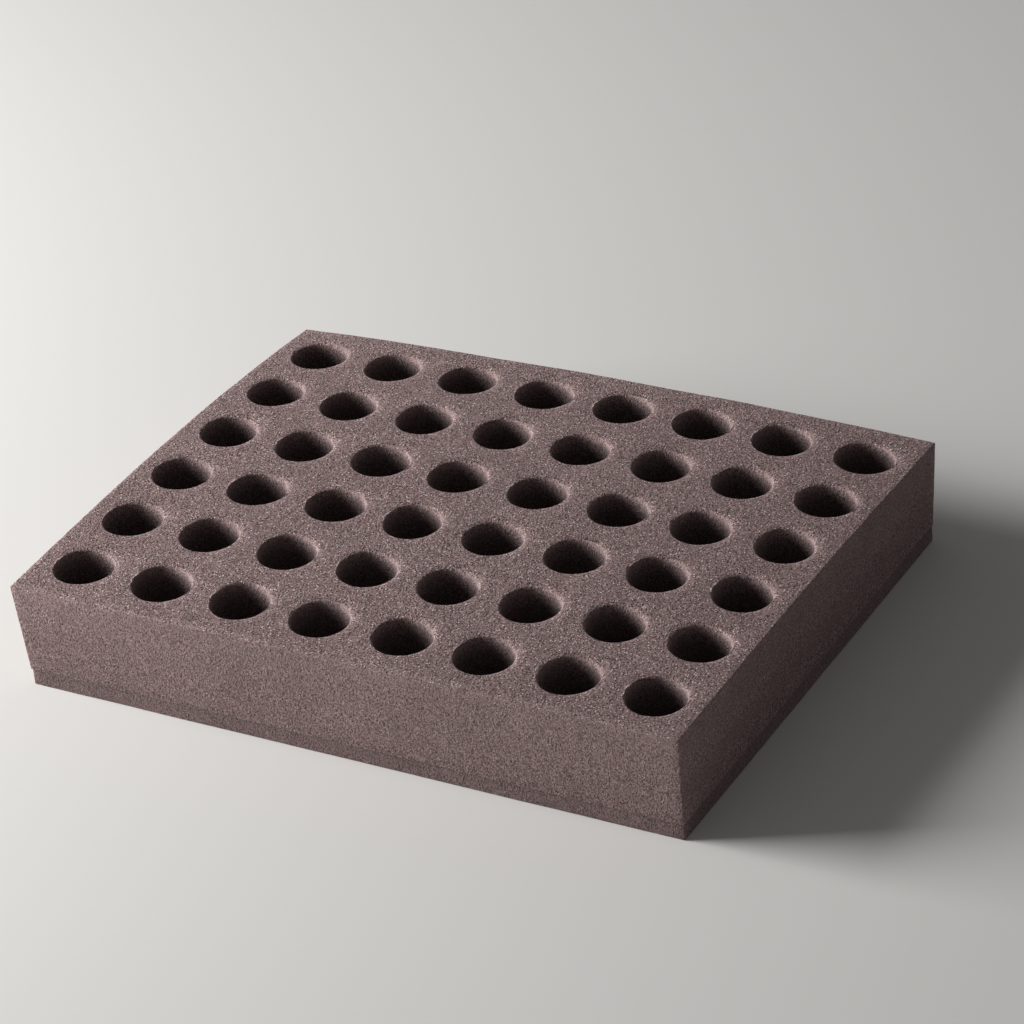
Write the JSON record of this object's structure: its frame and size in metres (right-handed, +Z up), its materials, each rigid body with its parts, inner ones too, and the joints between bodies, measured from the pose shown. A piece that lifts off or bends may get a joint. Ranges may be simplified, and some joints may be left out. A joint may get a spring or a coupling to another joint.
{
  "type": "foam egg tray",
  "caption": "Low rectangular foam block with a square grid of round open-topped pockets for small eggs, on a thin bonded foam base sheet.",
  "frame": {"origin": "middle of the underside of the base sheet, on the surface that the tray lies on", "axes": "+X along the long side of the tray, +Y along the short side away from the viewer, +Z up out of the pockets"},
  "size_m": [0.3258, 0.2498, 0.055],
  "materials": {
    "block_foam": "matte",
    "base_foam": "matte"
  },
  "bodies": {
    "root": {"pocket_block": "block_foam", "base_sheet": "base_foam"}
  },
  "joints": []
}
